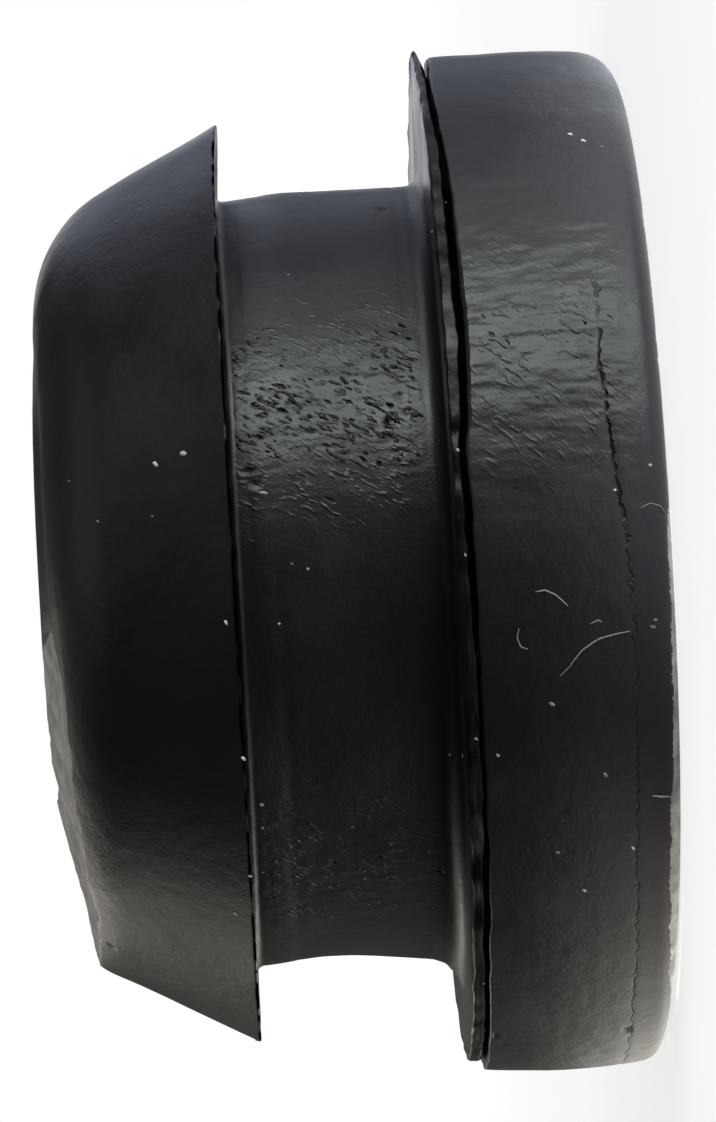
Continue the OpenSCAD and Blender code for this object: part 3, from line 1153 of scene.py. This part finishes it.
# Chalky dust and mould release: no gloss, in clumps from grey to nearly white.
CLUMP = 0.9
white_dust, tree = new_material("white dust")
place = add_node(tree, "ShaderNodeTexCoord").outputs["Object"]
clump = add_node(tree, "ShaderNodeTexNoise", {"Vector": place, "Scale": 1 / (CLUMP * MM), "Detail": 3.0})
level = add_node(
    tree,
    "ShaderNodeMapRange",
    {"Value": clump.outputs["Fac"], "From Min": 0.35, "From Max": 0.68},
    **EASED,
)
pale = add_node(
    tree,
    "ShaderNodeMix",
    {0: level.outputs["Result"], 6: linear("#6a686c"), 7: linear("#dedcd7")},
    data_type="RGBA",
)
powder = add_node(tree, "ShaderNodeBsdfPrincipled", {"Base Color": pale.outputs[2], "Roughness": 0.8})
add_node(tree, "ShaderNodeOutputMaterial", {"Surface": powder.outputs[0]})
dust.data.materials.append(white_dust)
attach(dust, "root")

# ---------------------------------------------------------------------------------------------
# Lint. Loose cotton fibres on the flange's wall and one caught at its edge, each a thin strand
# that follows the surface.
# ---------------------------------------------------------------------------------------------
# Strands as the camera sees them, end to end, each with its width in mm.
STRANDS = [
    (0.055, [(535, 592), (545, 590), (556, 595), (568, 606)]),
    (0.050, [(570, 665), (582, 650), (598, 639), (615, 634), (630, 631)]),
    (0.040, [(519, 628), (517, 638), (521, 647), (528, 649)]),
    (0.040, [(590, 624), (598, 620), (602, 622)]),
    (0.030, [(640, 508), (650, 503), (660, 506), (665, 514)]),
    (0.065, [(652, 795), (661, 796), (670, 796)]),
    (0.030, [(560, 676), (566, 670), (572, 664)]),
]
# Each path is laid out in six points to a spot. A strand is thinner than its width in the table,
# tapers off at both ends and lies half sunk in the surface.
POINTS_TO_A_SPOT, STRAND_SIDES = 6, 8
WIDTH_SHARE, LIES_OUT = 0.75, 0.45
TAPER_FROM, TAPER_POWER = 0.12, 0.35
strand_points = []
for width, path in STRANDS:
    way = np.linspace(0, len(path) - 1, POINTS_TO_A_SPOT * len(path))
    seen_at = np.array(path, float)
    drawn = np.stack([np.interp(way, range(len(path)), seen_at[:, k]) for k in (0, 1)], -1)
    smooth = drawn.copy()
    smooth[1:-1] = (drawn[:-2] + drawn[1:-1] + drawn[2:]) / 3
    spots, rights, downs, outs = perched(smooth)
    width *= WIDTH_SHARE
    middle = spots + outs * width * LIES_OUT
    forward = np.gradient(middle, axis=0)
    forward /= np.linalg.norm(forward, axis=1)[:, None]
    aside = np.cross(forward, outs)
    slim = np.sin(np.linspace(TAPER_FROM, np.pi - TAPER_FROM, len(middle))) ** TAPER_POWER
    spin = np.linspace(0, 2 * np.pi, STRAND_SIDES, endpoint=False)
    hoop = np.cos(spin)[None, :, None] * aside[:, None] + np.sin(spin)[None, :, None] * outs[:, None]
    strand_points.append(middle[:, None] + hoop * (width / 2) * slim[:, None, None])
strand_faces = []
for rings in strand_points:
    count = len(rings)
    edge = np.arange(STRAND_SIDES)
    ends = [edge, (count - 1) * STRAND_SIDES + edge[::-1]]
    strand_faces.append([*tube_faces(count, STRAND_SIDES), *ends])
lint = joined_mesh("lint", [rings.reshape(-1, 3) for rings in strand_points], strand_faces)
# Raw cotton: soft grey, with hardly any gloss.
cotton, tree = new_material("cotton fibre")
fibre = add_node(tree, "ShaderNodeBsdfPrincipled", {"Base Color": linear("#8d8a8a"), "Roughness": 0.7})
add_node(tree, "ShaderNodeOutputMaterial", {"Surface": fibre.outputs[0]})
lint.data.materials.append(cotton)
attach(lint, "root")
